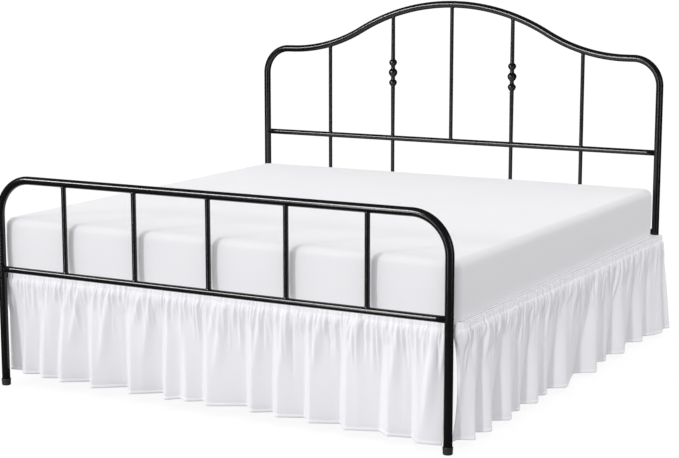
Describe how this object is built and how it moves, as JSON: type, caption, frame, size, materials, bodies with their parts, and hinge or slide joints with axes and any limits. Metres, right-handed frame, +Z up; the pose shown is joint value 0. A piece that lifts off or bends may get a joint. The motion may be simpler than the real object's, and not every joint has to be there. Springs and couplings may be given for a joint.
{
  "type": "bed skirt on bed",
  "caption": "Gathered white bed skirt with split corners and a narrow top band, hanging from the base of a black tubular metal bed with an arched headboard and a plain mattress.",
  "frame": {"origin": "middle of the whole part's width and length, on the floor", "axes": "+X the bed's right side as seen from the foot, +Y from the foot towards the head, +Z up"},
  "size_m": [2.1132, 2.1524, 1.4517],
  "materials": {
    "black_gloss_metal": "satin gloss black",
    "dark_base_steel": "satin black",
    "black_cap": "matt black",
    "white_skirt_cloth": "soft brushed weave",
    "white_mattress_cover": "smooth knitted cover"
  },
  "bodies": {
    "root": {"band_foot": "white_skirt_cloth", "band_left": "white_skirt_cloth", "band_right": "white_skirt_cloth", "cap_foot_left": "black_cap", "cap_foot_right": "black_cap", "cap_head_left": "black_cap", "cap_head_right": "black_cap", "centre_leg_1": "dark_base_steel", "centre_leg_2": "dark_base_steel", "centre_leg_3": "dark_base_steel", "centre_rail": "dark_base_steel", "cross_rail_foot": "dark_base_steel", "cross_rail_head": "dark_base_steel", "foot_baluster_1": "black_gloss_metal", "foot_baluster_2": "black_gloss_metal", "foot_baluster_3": "black_gloss_metal", "foot_baluster_4": "black_gloss_metal", "foot_baluster_5": "black_gloss_metal", "foot_bracket_left": "dark_base_steel", "foot_bracket_right": "dark_base_steel", "foot_low_rail": "black_gloss_metal", "footboard_hoop": "black_gloss_metal", "head_baluster_1": "black_gloss_metal", "head_baluster_2": "black_gloss_metal", "head_baluster_3": "black_gloss_metal", "head_baluster_4": "black_gloss_metal", "head_baluster_5": "black_gloss_metal", "head_baluster_low_1": "black_gloss_metal", "head_baluster_low_2": "black_gloss_metal", "head_baluster_low_3": "black_gloss_metal", "head_baluster_low_4": "black_gloss_metal", "head_low_rail": "black_gloss_metal", "head_mid_rail": "black_gloss_metal", "headboard_hoop": "black_gloss_metal", "mattress": "white_mattress_cover", "panel_foot": "white_skirt_cloth", "panel_left": "white_skirt_cloth", "panel_right": "white_skirt_cloth", "side_rail_left": "dark_base_steel", "side_rail_right": "dark_base_steel", "slat_1": "dark_base_steel", "slat_2": "dark_base_steel", "slat_3": "dark_base_steel", "slat_4": "dark_base_steel", "slat_5": "dark_base_steel", "slat_6": "dark_base_steel", "slat_7": "dark_base_steel", "slat_8": "dark_base_steel"}
  },
  "joints": []
}
